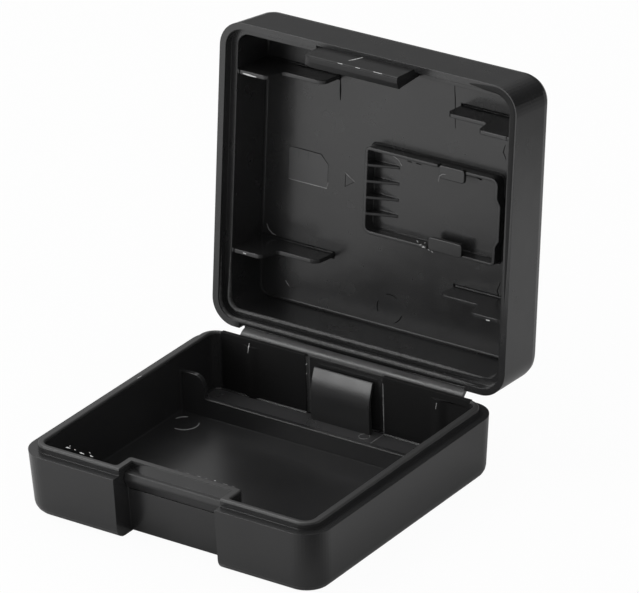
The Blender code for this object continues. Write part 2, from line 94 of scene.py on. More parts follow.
# Sizes of the solids and of forms that follow them, in millimetres; STRAP_TURN is half the turn of
# the strap's arc
CASE_W = 50.0
CASE_D = 45.8
CORNER_R = 3.9
BASE_H = 9.5
FLOOR_T = 1.5
IN_X = 22.5
IN_BACK = 20.9
LIP_BACK = 21.5
LIP_TOP = 10.6
LIP_INNER_Y = -17.45
LIP_OUTER_Y = -18.45
CROSS_Y = 12.3
CROSS_T = 0.8
WEB_TOP = 7.8
SEAT = 0.25
FILM_OUT = 0.15
FILM_DROP = 1.2
STRIP = (-19.9, 18.2)
STRAP_TURN = math.radians(34)
ALCOVE_HALF = 6.65
ALCOVE_DEPTH = 0.5
CRUSH_X = 16.1
CRUSH_SPREAD = 1.6
CRUSH_RISE = 0.32
LID_WALL = 2.1
CEILING = 9.0
RECESS_HALF = 8.5
RECESS_Y = -19.7
RIB_V = (10.9, 37.9)
RIB_T = 0.6
RIB_END = 10.4
RIB_HIGH_W = 1.5
POCKET = (-3.85, 17.6, 16.8, 28.9)
POCKET_WALL = 0.45
TAB_OUTER = 45.16
TAB_INNER = 44.66
TAB_TIP = -4.35
TAB_ENDS = (-8.4, 8.0)

# Beads on the lid's rim and rebate: inset from the outline, level and radius, in millimetres
RIM_BEAD = (0.95, 0.5, 0.34)
REBATE_BEAD = (1.95, 1.5, 0.36)

# Directions out of the faces that threads lie on
LID_UP = (0, 0, -1)
BASE_UP = (0, 0, 1)

# Depth to which skins and seats reach into the solids they sit on, in millimetres
SINK = 0.03

# Plastic: noise scales per metre, noise bands, and depths, heights and blends in metres
MM = 0.001
PLASTIC_IOR = 1.49
DARK_FLOW = (0.8, 0.8, 0.82)
PALE_FLOW = (1.2, 1.2, 1.22)
GRAIN_SCALE = 5200.0
GRAIN_DEPTH = 0.00002
FLOW_SCALE = 120.0
FLOW_DEPTH = 0.0001
HAZE_SCALE = 260.0
HAZE_BAND = (0.3, 0.7)
FLECK_SCALE = 9000.0
FLECK_DEPTH = 0.00003
FLECK_BAND = (0.35, 0.65)
# Where the tray's lip turns rougher and paler: wear with a painted sheen; the rag and roughness serve the
# strap too
LIP_WEAR_AND_SHEEN_HEIGHT = 0.0103
WEAR_AND_SHEEN_RAGGED = 0.00012
LIP_WEAR_AND_SHEEN_FADE = 0.00006
RUB_ROUGH = 0.42
# Where the strap's crease turns paler: bend whitening with a painted highlight
CREASE_WHITENING_AND_HIGHLIGHT_HEIGHT = 0.00972
CREASE_WHITENING_AND_HIGHLIGHT_FADE = 0.00022
SHARP_ANGLE = math.radians(33)

# The lid stands open by the turns of both films from the shut position
JOINTS = {joint["name"]: joint for joint in frame["record"]["behaviour"]["joints"]}
OPEN = -math.radians(JOINTS["base_film"]["range_deg"][0] + JOINTS["lid_film"]["range_deg"][0])
LID_PLACE = Matrix.Translation(JOINTS["lid_film"]["pos_m"]) @ Matrix.Rotation(-OPEN, 4, "X")


def camera():
    """Camera that puts the base's origin on its pixel, at the fitted angles."""
    level_part = math.cos(VIEW_EL)
    ahead = Vector((-math.sin(VIEW_AZ) * level_part, math.cos(VIEW_AZ) * level_part,
                    -math.sin(VIEW_EL)))
    level = ahead.cross(Vector((0, 0, 1))).normalized()
    upright = level.cross(ahead)
    right = level * math.cos(VIEW_ROLL) + upright * math.sin(VIEW_ROLL)
    up = upright * math.cos(VIEW_ROLL) - level * math.sin(VIEW_ROLL)
    across = (ORIGIN_PX[0] - IMAGE[0] / 2) / FOCAL_PX * VIEW_DISTANCE
    below = (ORIGIN_PX[1] - IMAGE[1] / 2) / FOCAL_PX * VIEW_DISTANCE
    place = -ahead * VIEW_DISTANCE - right * across + up * below
    lens = bpy.data.cameras.new("camera")
    lens.sensor_width = SENSOR_W
    lens.lens = FOCAL_PX / IMAGE[0] * lens.sensor_width
    lens.clip_start = CLIP_START
    made = bpy.data.objects.new("camera", lens)
    turn = Matrix((right, up, -ahead)).transposed().to_4x4()
    made.matrix_world = Matrix.Translation(place) @ turn
    bpy.context.scene.collection.objects.link(made)
    bpy.context.scene.camera = made


def area_light(name, place, size, watts):
    """Square soft box that faces the case."""
    light = bpy.data.lights.new(name, "AREA")
    light.size = size
    light.energy = watts
    made = bpy.data.objects.new(name, light)
    made.location = place
    made.rotation_euler = (-Vector(place)).to_track_quat("-Z", "Y").to_euler()
    bpy.context.scene.collection.objects.link(made)


class Nodes:
    """Short way to build a node tree."""

    def __init__(self, tree):
        self.tree = tree
        tree.nodes.clear()

    def add(self, kind, **settings):
        """New node; in_Name sets the input called Name, anything else a setting of the node."""
        node = self.tree.nodes.new(kind)
        for name, value in settings.items():
            if name.startswith("in_"):
                node.inputs[name[3:].replace("_", " ")].default_value = value
            else:
                setattr(node, name, value)
        return node

    def link(self, source, target):
        """Joins an output to an input."""
        self.tree.links.new(source, target)


def new_material(name):
    """Empty material and its node tree."""
    made = bpy.data.materials.new(name)
    made.use_nodes = True
    return made, Nodes(made.node_tree)


def spread(n, value, low, high, to_low, to_high, kind="LINEAR"):
    """Maps a value's range to another."""
    node = n.add("ShaderNodeMapRange", interpolation_type=kind)
    ends = {"From Min": low, "From Max": high, "To Min": to_low, "To Max": to_high}
    for socket, number in ends.items():
        node.inputs[socket].default_value = number
    n.link(value, node.inputs["Value"])
    return node.outputs["Result"]


def grey(tone):
    """Neutral colour of one tone."""
    return (tone, tone, tone, 1.0)


def plastic(name, tone, rough, grain=0.1, rough_spread=0.035, edge=0.0001, flow=0.5, shine=0.5,
            wear_and_sheen=None):
    """Moulded black plastic: fine grain, slow flow marks, handling haze and softened edges.

    With wear_and_sheen, given as a height in metres, a tone and a blend in metres, what lies above
    that height turns rougher and paler: wear with a painted sheen on the tray's lip, and bend
    whitening with a painted highlight on the strap.
    """
    made, n = new_material(name)
    out = n.add("ShaderNodeOutputMaterial")
    shader = n.add("ShaderNodeBsdfPrincipled")
    shader.inputs["IOR"].default_value = PLASTIC_IOR
    shader.inputs["Specular IOR Level"].default_value = shine
    place = n.add("ShaderNodeTexCoord").outputs["Object"]
    fine = n.add("ShaderNodeTexNoise", in_Scale=GRAIN_SCALE, in_Detail=3.0, in_Roughness=0.6)
    slow = n.add("ShaderNodeTexNoise", in_Scale=FLOW_SCALE, in_Detail=3.0, in_Roughness=0.5)
    haze = n.add("ShaderNodeTexNoise", in_Scale=HAZE_SCALE, in_Detail=3.0, in_Roughness=0.55)
    for texture in (fine, slow, haze):
        n.link(place, texture.inputs["Vector"])
    hazy = spread(n, haze.outputs["Fac"], *HAZE_BAND, rough - rough_spread, rough + rough_spread)
    colour = n.add("ShaderNodeMix", data_type="RGBA")
    for end, mix in (("A", DARK_FLOW), ("B", PALE_FLOW)):
        colour.inputs[end].default_value = (*(tone * share for share in mix), 1.0)
    n.link(slow.outputs["Fac"], colour.inputs["Factor"])
    shade = colour.outputs["Result"]
    # Paler and rougher above a height: wear with painted sheen on the tray, whitening with a painted
    # highlight on the strap
    if wear_and_sheen:
        height, pale, blend = wear_and_sheen
        axes = n.add("ShaderNodeSeparateXYZ")
        n.link(place, axes.inputs["Vector"])
        ragged = spread(n, haze.outputs["Fac"], *HAZE_BAND, -WEAR_AND_SHEEN_RAGGED, WEAR_AND_SHEEN_RAGGED)
        level = n.add("ShaderNodeMath", operation="ADD")
        n.link(axes.outputs["Z"], level.inputs[0])
        n.link(ragged, level.inputs[1])
        wear_and_sheen_mask = spread(n, level.outputs["Value"], height - blend, height + blend, 0.0, 1.0)
        wear_and_sheen_colour = n.add("ShaderNodeMix", data_type="RGBA")
        wear_and_sheen_colour.inputs["B"].default_value = grey(pale)
        n.link(wear_and_sheen_mask, wear_and_sheen_colour.inputs["Factor"])
        n.link(shade, wear_and_sheen_colour.inputs["A"])
        shade = wear_and_sheen_colour.outputs["Result"]
        coarse = n.add("ShaderNodeMix", data_type="FLOAT")
        coarse.inputs["B"].default_value = RUB_ROUGH
        n.link(wear_and_sheen_mask, coarse.inputs["Factor"])
        n.link(hazy, coarse.inputs["A"])
        hazy = coarse.outputs["Result"]
    n.link(hazy, shader.inputs["Roughness"])
    n.link(shade, shader.inputs["Base Color"])
    soft = n.add("ShaderNodeBevel", samples=4, in_Radius=edge)
    wave = n.add("ShaderNodeBump", in_Strength=flow, in_Distance=FLOW_DEPTH)
    n.link(slow.outputs["Fac"], wave.inputs["Height"])
    n.link(soft.outputs["Normal"], wave.inputs["Normal"])
    bump = n.add("ShaderNodeBump", in_Strength=grain, in_Distance=GRAIN_DEPTH)
    n.link(fine.outputs["Fac"], bump.inputs["Height"])
    n.link(wave.outputs["Normal"], bump.inputs["Normal"])
    n.link(bump.outputs["Normal"], shader.inputs["Normal"])
    n.link(shader.outputs["BSDF"], out.inputs["Surface"])
    return made


def flecked(name, dark, light, rough, scale=FLECK_SCALE, depth=FLECK_DEPTH):
    """Flecked plastic between a dark and a light tone: scratches, wear and bend whitening, and also
    painted glints and highlights.
    """
    made, n = new_material(name)
    out = n.add("ShaderNodeOutputMaterial")
    shader = n.add("ShaderNodeBsdfPrincipled", in_Roughness=rough)
    place = n.add("ShaderNodeTexCoord").outputs["Object"]
    fleck = n.add("ShaderNodeTexNoise", in_Scale=scale, in_Detail=4.0, in_Roughness=0.7)
    n.link(place, fleck.inputs["Vector"])
    colour = n.add("ShaderNodeMix", data_type="RGBA")
    colour.inputs["A"].default_value = grey(dark)
    colour.inputs["B"].default_value = grey(light)
    n.link(spread(n, fleck.outputs["Fac"], *FLECK_BAND, 0.0, 1.0), colour.inputs["Factor"])
    n.link(colour.outputs["Result"], shader.inputs["Base Color"])
    bump = n.add("ShaderNodeBump", in_Strength=0.3, in_Distance=depth)
    n.link(fleck.outputs["Fac"], bump.inputs["Height"])
    n.link(bump.outputs["Normal"], shader.inputs["Normal"])
    n.link(shader.outputs["BSDF"], out.inputs["Surface"])
    return made


def smooth_shading():
    """Node group that shades a moulded form smoothly and keeps its sharp edges."""
    group = bpy.data.node_groups.new("smooth_shading", "GeometryNodeTree")
    group.interface.new_socket("Geometry", in_out="INPUT", socket_type="NodeSocketGeometry")
    group.interface.new_socket("Geometry", in_out="OUTPUT", socket_type="NodeSocketGeometry")
    n = Nodes(group)
    start = n.add("NodeGroupInput")
    end = n.add("NodeGroupOutput")
    faces = n.add("GeometryNodeSetShadeSmooth", domain="FACE", in_Shade_Smooth=True)
    edges = n.add("GeometryNodeSetShadeSmooth", domain="EDGE", in_Shade_Smooth=False)
    angle = n.add("GeometryNodeInputMeshEdgeAngle")
    sharp = n.add("FunctionNodeCompare", data_type="FLOAT", operation="GREATER_THAN")
    sharp.inputs["B"].default_value = SHARP_ANGLE
    n.link(start.outputs[0], faces.inputs["Geometry"])
    n.link(faces.outputs["Geometry"], edges.inputs["Geometry"])
    n.link(angle.outputs["Unsigned Angle"], sharp.inputs["A"])
    n.link(sharp.outputs["Result"], edges.inputs["Selection"])
    n.link(edges.outputs["Geometry"], end.inputs[0])
    return group


def smooth(obj):
    """Smooth shading that keeps sharp edges and flat faces."""
    obj.modifiers.new("smooth", "NODES").node_group = SMOOTH
    weighted = obj.modifiers.new("weighted", "WEIGHTED_NORMAL")
    weighted.keep_sharp = True


def dress(material, *nodes):
    """Gives solids a material and smooth shading."""
    for name in nodes:
        node = frame["nodes"][name]
        node.data.materials.clear()
        node.data.materials.append(material)
        smooth(node)


def floor():
    """White table that the camera sees as white, with a little of the case's shadow.

    Painted shade makes it greyer behind and right of the case and more so far off, and a painted
    shadow darkens a round patch before the near corner; these show mostly in what the plastic
    mirrors.
    """
    bm = bmesh.new()
    bmesh.ops.create_grid(bm, x_segments=2, y_segments=2, size=FLOOR_HALF)
    mesh = bpy.data.meshes.new("floor")
    bm.to_mesh(mesh)
    bm.free()
    made = bpy.data.objects.new("floor", mesh)
    made.location.z = -FLOOR_DROP
    bpy.context.scene.collection.objects.link(made)
    material, n = new_material("floor")
    out = n.add("ShaderNodeOutputMaterial")
    place = n.add("ShaderNodeTexCoord").outputs["Object"]
    along = n.add("ShaderNodeVectorMath", operation="DOT_PRODUCT")
    along.inputs[1].default_value = FLOOR_AXIS
    n.link(place, along.inputs[0])
    # Painted shade: greyer from the case onwards along FLOOR_AXIS, and greyer again far off
    near = spread(n, along.outputs["Value"], *NEAR_PAINTED_SHADE_FADE, *NEAR_PAINTED_SHADE_TONES, "SMOOTHSTEP")
    # Painted shadow: a dark round patch before the near corner
    apart = n.add("ShaderNodeVectorMath", operation="DISTANCE")
    apart.inputs[1].default_value = PAINTED_SHADOW_SPOT
    n.link(place, apart.inputs[0])
    painted_shadow = spread(n, apart.outputs["Value"], *PAINTED_SHADOW_SPOT_R, PAINTED_SHADOW_SPOT_TONE, 1.0, "SMOOTHSTEP")
    far = spread(n, along.outputs["Value"], *FAR_PAINTED_SHADE_FADE, *FAR_PAINTED_SHADE_TONES, "SMOOTHSTEP")
    both = n.add("ShaderNodeMath", operation="MULTIPLY")
    n.link(near, both.inputs[0])
    n.link(far, both.inputs[1])
    tone = n.add("ShaderNodeMath", operation="MULTIPLY")
    n.link(both.outputs["Value"], tone.inputs[0])
    n.link(painted_shadow, tone.inputs[1])
    matt = n.add("ShaderNodeBsdfDiffuse")
    n.link(tone.outputs["Value"], matt.inputs["Color"])
    ray = n.add("ShaderNodeLightPath")
    part = n.add("ShaderNodeMath", operation="MULTIPLY")
    part.inputs[1].default_value = FLOOR_WHITE
    n.link(ray.outputs["Is Camera Ray"], part.inputs[0])
    white = n.add("ShaderNodeEmission", in_Color=(1.0, 1.0, 1.0, 1.0), in_Strength=1.0)
    mix = n.add("ShaderNodeMixShader")
    n.link(part.outputs["Value"], mix.inputs["Fac"])
    n.link(matt.outputs["BSDF"], mix.inputs[1])
    n.link(white.outputs["Emission"], mix.inputs[2])
    n.link(mix.outputs["Shader"], out.inputs["Surface"])
    mesh.materials.append(material)


def world():
    """White light tent. What the plastic mirrors of it is greyer, most of all low on the right."""
    made = bpy.data.worlds.new("studio")
    bpy.context.scene.world = made
    made.use_nodes = True
    n = Nodes(made.node_tree)
    out = n.add("ShaderNodeOutputWorld")
    ray = n.add("ShaderNodeLightPath")
    white = n.add("ShaderNodeBackground", in_Color=(1.0, 1.0, 1.0, 1.0), in_Strength=1.0)
    height = n.add("ShaderNodeVectorMath", operation="DOT_PRODUCT")
    height.inputs[1].default_value = SKY_AXIS
    n.link(n.add("ShaderNodeTexCoord").outputs["Generated"], height.inputs[0])
    above = n.add("ShaderNodeMath", operation="MAXIMUM")
    above.inputs[1].default_value = 0.0
    n.link(height.outputs["Value"], above.inputs[0])
    power = n.add("ShaderNodeMath", operation="POWER")
    power.inputs[1].default_value = SKY_POWER
    n.link(above.outputs["Value"], power.inputs[0])
    level = n.add("ShaderNodeMath", operation="MULTIPLY")
    level.inputs[1].default_value = SKY_TOP
    n.link(power.outputs["Value"], level.inputs[0])
    dim = n.add("ShaderNodeBackground", in_Color=(1.0, 1.0, 1.0, 1.0))
    n.link(level.outputs["Value"], dim.inputs["Strength"])
    mix = n.add("ShaderNodeMixShader")
    n.link(ray.outputs["Is Glossy Ray"], mix.inputs["Fac"])
    n.link(white.outputs["Background"], mix.inputs[1])
    n.link(dim.outputs["Background"], mix.inputs[2])
    n.link(mix.outputs["Shader"], out.inputs["Surface"])


def rounded(corners, steps=6):
    """Outline through (a, b, radius) corners, each turned on its own radius."""
    outline = []
    for i, (a, b, radius) in enumerate(corners):
        here = Vector((a, b))
        back = (Vector(corners[i - 1][:2]) - here).normalized()
        ahead = (Vector(corners[(i + 1) % len(corners)][:2]) - here).normalized()
        if radius <= 0:
            outline.append((a, b))
            continue
        half = back.angle(ahead) / 2
        centre = here + (back + ahead).normalized() * (radius / math.sin(half))
        first = here + back * (radius / math.tan(half)) - centre
        last = here + ahead * (radius / math.tan(half)) - centre
        start = math.atan2(first.y, first.x)
        turn = math.atan2(last.y, last.x) - start
        turn = (turn + math.pi) % (2 * math.pi) - math.pi
        for k in range(steps + 1):
            angle = start + turn * k / steps
            outline.append((centre.x + radius * math.cos(angle),
                            centre.y + radius * math.sin(angle)))
    return outline


def add_piece(name, bm, body, material):
    """Object from millimetre forms, turned outwards, smoothed and riding on a body."""
    bmesh.ops.remove_doubles(bm, verts=bm.verts, dist=1e-5)
    bmesh.ops.recalc_face_normals(bm, faces=bm.faces)
    if bm.calc_volume(signed=True) < 0:
        bmesh.ops.reverse_faces(bm, faces=bm.faces)
    if body in ("lid", "latch"):
        for vert in bm.verts:
            x, v, w = vert.co
            vert.co = (x, -(v + FILM_OUT), w - FILM_DROP)
        bmesh.ops.reverse_faces(bm, faces=bm.faces)
    bm.transform(Matrix.Scale(MM, 4))
    if body in ("lid", "latch"):
        bm.transform(LID_PLACE)
    mesh = bpy.data.meshes.new(name)
    bm.to_mesh(mesh)
    bm.free()
    mesh.materials.append(material)
    made = bpy.data.objects.new(name, mesh)
    bpy.context.scene.collection.objects.link(made)
    smooth(made)
    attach(made, body)
    return made


def loft_into(bm, rings, closed=False):
    """Skins rings of points; the ends are capped unless the last ring joins the first."""
    rows = [[bm.verts.new(point) for point in ring] for ring in rings]
    pairs = list(zip(rows, rows[1:]))
    if closed:
        pairs.append((rows[-1], rows[0]))
    for near, far in pairs:
        for i, vert in enumerate(near):
            bm.faces.new((near[i - 1], vert, far[i], far[i - 1]))
    if not closed:
        caps = [bm.faces.new(rows[0]), bm.faces.new(rows[-1])]
        bmesh.ops.triangulate(bm, faces=caps)


def bar_into(bm, axis, start, stop, outline):
    """Outline carried along an axis: (b, c) along a, or (a, b) along c."""
    if axis == "a":
        rings = [[(reach, p, q) for p, q in outline] for reach in (start, stop)]
    else:
        rings = [[(p, q, reach) for p, q in outline] for reach in (start, stop)]
    loft_into(bm, rings)


def trace_into(bm, points, radius, up, sides=6, ease=1, wide=1.0):
    """Thread along points, for beads, scratches and witness lines half sunk in a face.

    It is round, or wide times as wide as high, and it tapers over its first and last ease points.
    """
    points = [Vector(point) for point in points]
    up = Vector(up).normalized()
    last = len(points) - 1
    rings = []
    for i, point in enumerate(points):
        ahead = (points[min(i + 1, last)] - points[max(i - 1, 0)]).normalized()
        across = ahead.cross(up).normalized()
        rise = across.cross(ahead).normalized()
        taper = min(1.0, (min(i, last - i) + 0.5) / ease)
        rings.append([point + (across * math.cos(turn) * wide + rise * math.sin(turn)) * radius * taper
                      for turn in (2 * math.pi * k / sides for k in range(sides))])
    loft_into(bm, rings)


def arc_points(centre, radius, start, stop, level, steps=12):
    """Points of an arc in degrees, at one level of the third axis."""
    turns = (math.radians(start + (stop - start) * k / steps) for k in range(steps + 1))
    return [(centre[0] + radius * math.cos(t), centre[1] + radius * math.sin(t), level) for t in turns]


def traces(name, body, material, up, radius, lines):
    """One piece of several round threads."""
    bm = bmesh.new()
    for points in lines:
        trace_into(bm, points, radius, up)
    add_piece(name, bm, body, material)


def fillet(corner, along, up, radius):
    """Outline of a concave fillet at a corner, with legs in the two directions and its back sunk in."""
    sink, steps = 0.06, 8
    a, b = corner
    centre = (a + (along[0] + up[0]) * radius, b + (along[1] + up[1]) * radius)
    points = []
    for k in range(steps + 1):
        angle = math.pi / 2 * k / steps
        points.append((centre[0] - radius * (math.sin(angle) * along[0] + math.cos(angle) * up[0]),
                       centre[1] - radius * (math.sin(angle) * along[1] + math.cos(angle) * up[1])))
    first = (points[0][0] - up[0] * sink, points[0][1] - up[1] * sink)
    back = (a - (along[0] + up[0]) * sink, b - (along[1] + up[1]) * sink)
    last = (points[-1][0] - along[0] * sink, points[-1][1] - along[1] * sink)
    return [back, first, *points, last]


def block(a0, b0, a1, b1):
    """Outline of a rectangle between two corners."""
    return [(a0, b0), (a1, b0), (a1, b1), (a0, b1)]


def hinge_films():
    """The two thin webs of the hinge, each from its moulding's edge to the line it bends about."""
    base_web = rounded([(22.35, 7.30, 0.0), (22.55, 7.95, 0.1), (23.12, 8.52, 0.05),
                        (23.24, 8.22, 0.05), (22.75, 7.30, 0.0)], 3)
    lid_web = rounded([(0.85, 2.15, 0.0), (0.55, 1.65, 0.1), (-0.18, 1.40, 0.05), (-0.30, 1.10, 0.05),
                       (-0.02, 0.98, 0.05), (0.75, 1.30, 0.0), (1.25, 1.95, 0.0)], 3)
    for name, body, section in (("film_base", "base", base_web), ("film_lid", "lid", lid_web)):
        bm = bmesh.new()
        bar_into(bm, "a", *STRIP, section)
        add_piece(name, bm, body, FILM)


def strap():
    """Strap of the hinge as an even arc that bulges towards the opening."""
    foot = Vector(JOINTS["base_film"]["pos_m"]) / MM
    along = Vector(JOINTS["lid_film"]["pos_m"]) / MM - foot
    length = along.length
    along.normalize()
    out = Vector((0.0, -along.z, along.y))
    radius = length / 2 / math.sin(STRAP_TURN)
    skin, back, lap = 0.05, 0.15, 0.1
    outline = []
    for k in range(-12, 13):
        turn = STRAP_TURN * k / 12
        rise = skin + radius * (math.cos(turn) - math.cos(STRAP_TURN))
        outline.append((rise, length / 2 + radius * math.sin(turn)))
    outline.extend([(-skin, length + lap), (-back, length), (-back, 0.0), (-skin, -lap)])
    section = []
    for rise, reach in outline:
        point = foot + along * reach + out * rise
        section.append((point.y, point.z))
    bm = bmesh.new()
    bar_into(bm, "a", *STRIP, section)
    piece = add_piece("hinge_strap", bm, "strap", STRAP)
    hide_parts("hinge_strip")


def rim_beads():
    """Rounded, worn edges of the lid's rim and rebate on the hinge side and round the left corner."""
    bm = bmesh.new()
    for inset, level, radius in (RIM_BEAD, REBATE_BEAD):
        side = CASE_W / 2 - inset
        turn = CORNER_R - inset
        path = [(-side, v, level) for v in (12.0, 10.5, 9.0, 7.5, 6.0, 4.8)]
        path.extend(arc_points((-side + turn, inset + turn), turn, 180, 270, level, 8))
        path.extend([(x, inset, level) for x in (-14, -7, 0, 7, 13, 15.5, 17, 18.2, 19.2, 20.0, 20.6)])
        trace_into(bm, path, radius, LID_UP, sides=16, ease=6)
    add_piece("rim_beads", bm, "lid", RAGGED)


def rim_shades():
    """Painted shade as dark skins on the lid's rim: at the hinge, at the right and round its corner."""
    left, right = STRIP
    inset, level = 0.66, 0.1
    bm = bmesh.new()
    path = [(x, inset, level) for x in (left, 0.0, right)]
    trace_into(bm, path, 0.17, LID_UP, sides=12, wide=1.9)
    add_piece("hinge_rim_shade", bm, "lid", SHADE)
    inset, level = 0.65, 0.05
    rim, top = CASE_W / 2 - inset, CASE_D - inset
    turn = CORNER_R - inset
    bm = bmesh.new()
    path = [(rim, v, level) for v in (4.2, 14.0, 28.0, top - turn)]
    path.extend(arc_points((rim - turn, top - turn), turn, 0, 90, level, 10)[1:])
    path.extend([(x, top, level) for x in (19.5, 17.0, 13.0)])
    trace_into(bm, path, 0.1, LID_UP, sides=16, ease=3, wide=5.0)
    add_piece("right_rim_shade", bm, "lid", DEEP_SHADE)


def ceiling_shade():
    """Painted shade along the turned corners where the lid's ceiling meets its left and its hinge wall.
    """
    wall = CASE_W / 2 - LID_WALL - 0.12
    level = CEILING - 0.1
    at_left = [(-wall, RIB_V[0] + 0.5, level), (-wall, RIB_V[1] - 0.5, level)]
    at_hinge = [(-wall + 1.0, 2.25, level), (wall - 1.0, 2.25, level)]
    bm = bmesh.new()
    trace_into(bm, at_left, 0.22, LID_UP, sides=12)
    trace_into(bm, at_hinge, 0.2, LID_UP, sides=12)
    add_piece("ceiling_corner_shade", bm, "lid", CORNER_SHADE)


def back_wall():
    """Painted shade: dark skin on the wall behind the bay, with its crush ribs as soft swells, and on the
    lip above.
    """
    front = IN_BACK - SINK
    seam = 9.6
    bm = bmesh.new()
    for side in (-1, 1):
        near, far = side * (ALCOVE_HALF + 0.02), side * (IN_X - 1.2)
        bar_into(bm, "a", near, far, block(front, seam, LIP_BACK + 0.02, LIP_TOP + 0.02))
        skin = [(near, front)]
        for k in range(-8, 9):
            swell = 0.5 + 0.5 * math.cos(math.pi * k / 8)
            skin.append((side * (CRUSH_X + CRUSH_SPREAD * k / 8), front - CRUSH_RISE * swell))
        skin.extend([(far, front), (far, IN_BACK + 0.1), (near, IN_BACK + 0.1)])
        bar_into(bm, "c", FLOOR_T + 0.1, seam, skin)
    add_piece("back_wall_shade", bm, "base", DEEP_SHADE)


def cross_wall_seats():
    """Closed seats where the cross wall meets the floor and the side walls."""
    bm = bmesh.new()
    bar_into(bm, "a", -IN_X - 0.02, IN_X + 0.02,
             block(CROSS_Y - SEAT - 0.05, FLOOR_T - 0.3, CROSS_Y + SINK, FLOOR_T - 0.004))
    for side in (-1, 1):
        wall = side * IN_X
        bar_into(bm, "c", FLOOR_T - 0.02, WEB_TOP - 0.05,
                 fillet((wall, CROSS_Y), (-side, 0), (0, -1), 0.25))
        x0, x1 = sorted((wall + side * SINK, wall - side * (SEAT + 0.02)))
        bar_into(bm, "c", FLOOR_T - 0.1, WEB_TOP - 0.02,
                 block(x0, CROSS_Y + 0.01, x1, CROSS_Y + CROSS_T - 0.01))
    add_piece("cross_wall_fillets", bm, "base", INNER)


def ledge():
    """Slope from the lip to the ledge over the recess, fading to the left, and the ledge's seat."""
    bm = bmesh.new()
    bar_into(bm, "a", -RECESS_HALF + 0.01, RECESS_HALF - 0.01,
             block(RECESS_Y - SEAT - 0.05, BASE_H - 0.35, RECESS_Y + SINK, BASE_H - 0.005))
    slope = [(0.05, 0.98), (-0.06, 1.0), (-1.0, 0.06), (-1.1, -0.02), (0.05, -0.02)]
    stations = [(-8.0, 0.05), (-7.4, 0.4), (-6.8, 0.75), (-6.1, 0.95), (-5.2, 1.0),
                (RECESS_HALF + 0.2, 1.0)]
    rings = []
    for x, share in stations:
        rings.append([(x, LIP_OUTER_Y + y * (share if y < 0 else 1.0),
                       BASE_H + z * (share if z > 0 else 1.0)) for y, z in slope])
    loft_into(bm, rings)
    add_piece("ledge_slope", bm, "base", LEDGE)


def rear_floor():
    """Paler floor behind the cross wall, and a paler fillet at the alcove's left corner."""
    bm = bmesh.new()
    bar_into(bm, "a", -IN_X + 0.3, IN_X - 0.3,
             block(CROSS_Y + CROSS_T + SINK, FLOOR_T - 0.1, IN_BACK + 0.02, FLOOR_T + 0.006))
    add_piece("rear_floor_skin", bm, "base", PALE_FLOOR)
    bm = bmesh.new()
    bar_into(bm, "c", FLOOR_T - 0.05, LIP_TOP - 0.3,
             fillet((-ALCOVE_HALF, IN_BACK + ALCOVE_DEPTH), (1, 0), (0, -1), 0.42))
    add_piece("alcove_fillet", bm, "base", PALE_FILLET)


def tongue():
    """Spring tongue with its long soft bend, thinner towards its top."""
    half = 5.0
    root = 1.25
    front, thick = 19.6, 0.62
    start_z, stop_z, top_z = 4.8, 8.1, 9.28
    lean = math.radians(20.5)
    radius = (stop_z - start_z) / math.sin(lean)
    face = [(front, root), (front, start_z)]
    for k in range(1, 11):
        angle = lean * k / 10
        face.append((front + radius * (1 - math.cos(angle)), start_z + radius * math.sin(angle)))
    tip_y = face[-1][0] + (top_z - stop_z) * math.tan(lean)
    face.append((tip_y - 0.02, top_z - 0.06))
    back = [(tip_y + 0.05, top_z), (tip_y + 0.22, top_z + 0.02), (tip_y + 0.33, top_z - 0.08)]
    for y, z in reversed(face[1:-1]):
        back.append((y + thick - 0.26 * max(0.0, z - start_z) / (top_z - start_z), z))
    back.append((front + thick, root))
    bm = bmesh.new()
    bar_into(bm, "a", -half, half, face + back)
    piece = add_piece("spring_tongue", bm, "tongue", TONGUE)
    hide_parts("battery_spring")


def catch():
    """Ridge below the ledge: a beaded top edge and a face that leans out, then curves back under."""
    end = RECESS_HALF - SEAT
    rings = []
    for x, proud in ((-end - 0.2, 0.76), (end + 0.2, 0.68)):
        outline = rounded([(0.3, 9.505, 0.0), (-0.5, 9.505, 0.14), (-proud, 8.5, 0.7), (0.05, 7.05, 0.0),
                           (0.2, 7.1, 0.0), (0.2, 8.6, 0.0), (0.3, 8.6, 0.0)])
        rings.append([(x, RECESS_Y + y, z) for y, z in outline])
    bm = bmesh.new()
    loft_into(bm, rings)
    piece = add_piece("catch_ridge", bm, "base", RIDGE)
    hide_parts("latch_catch")


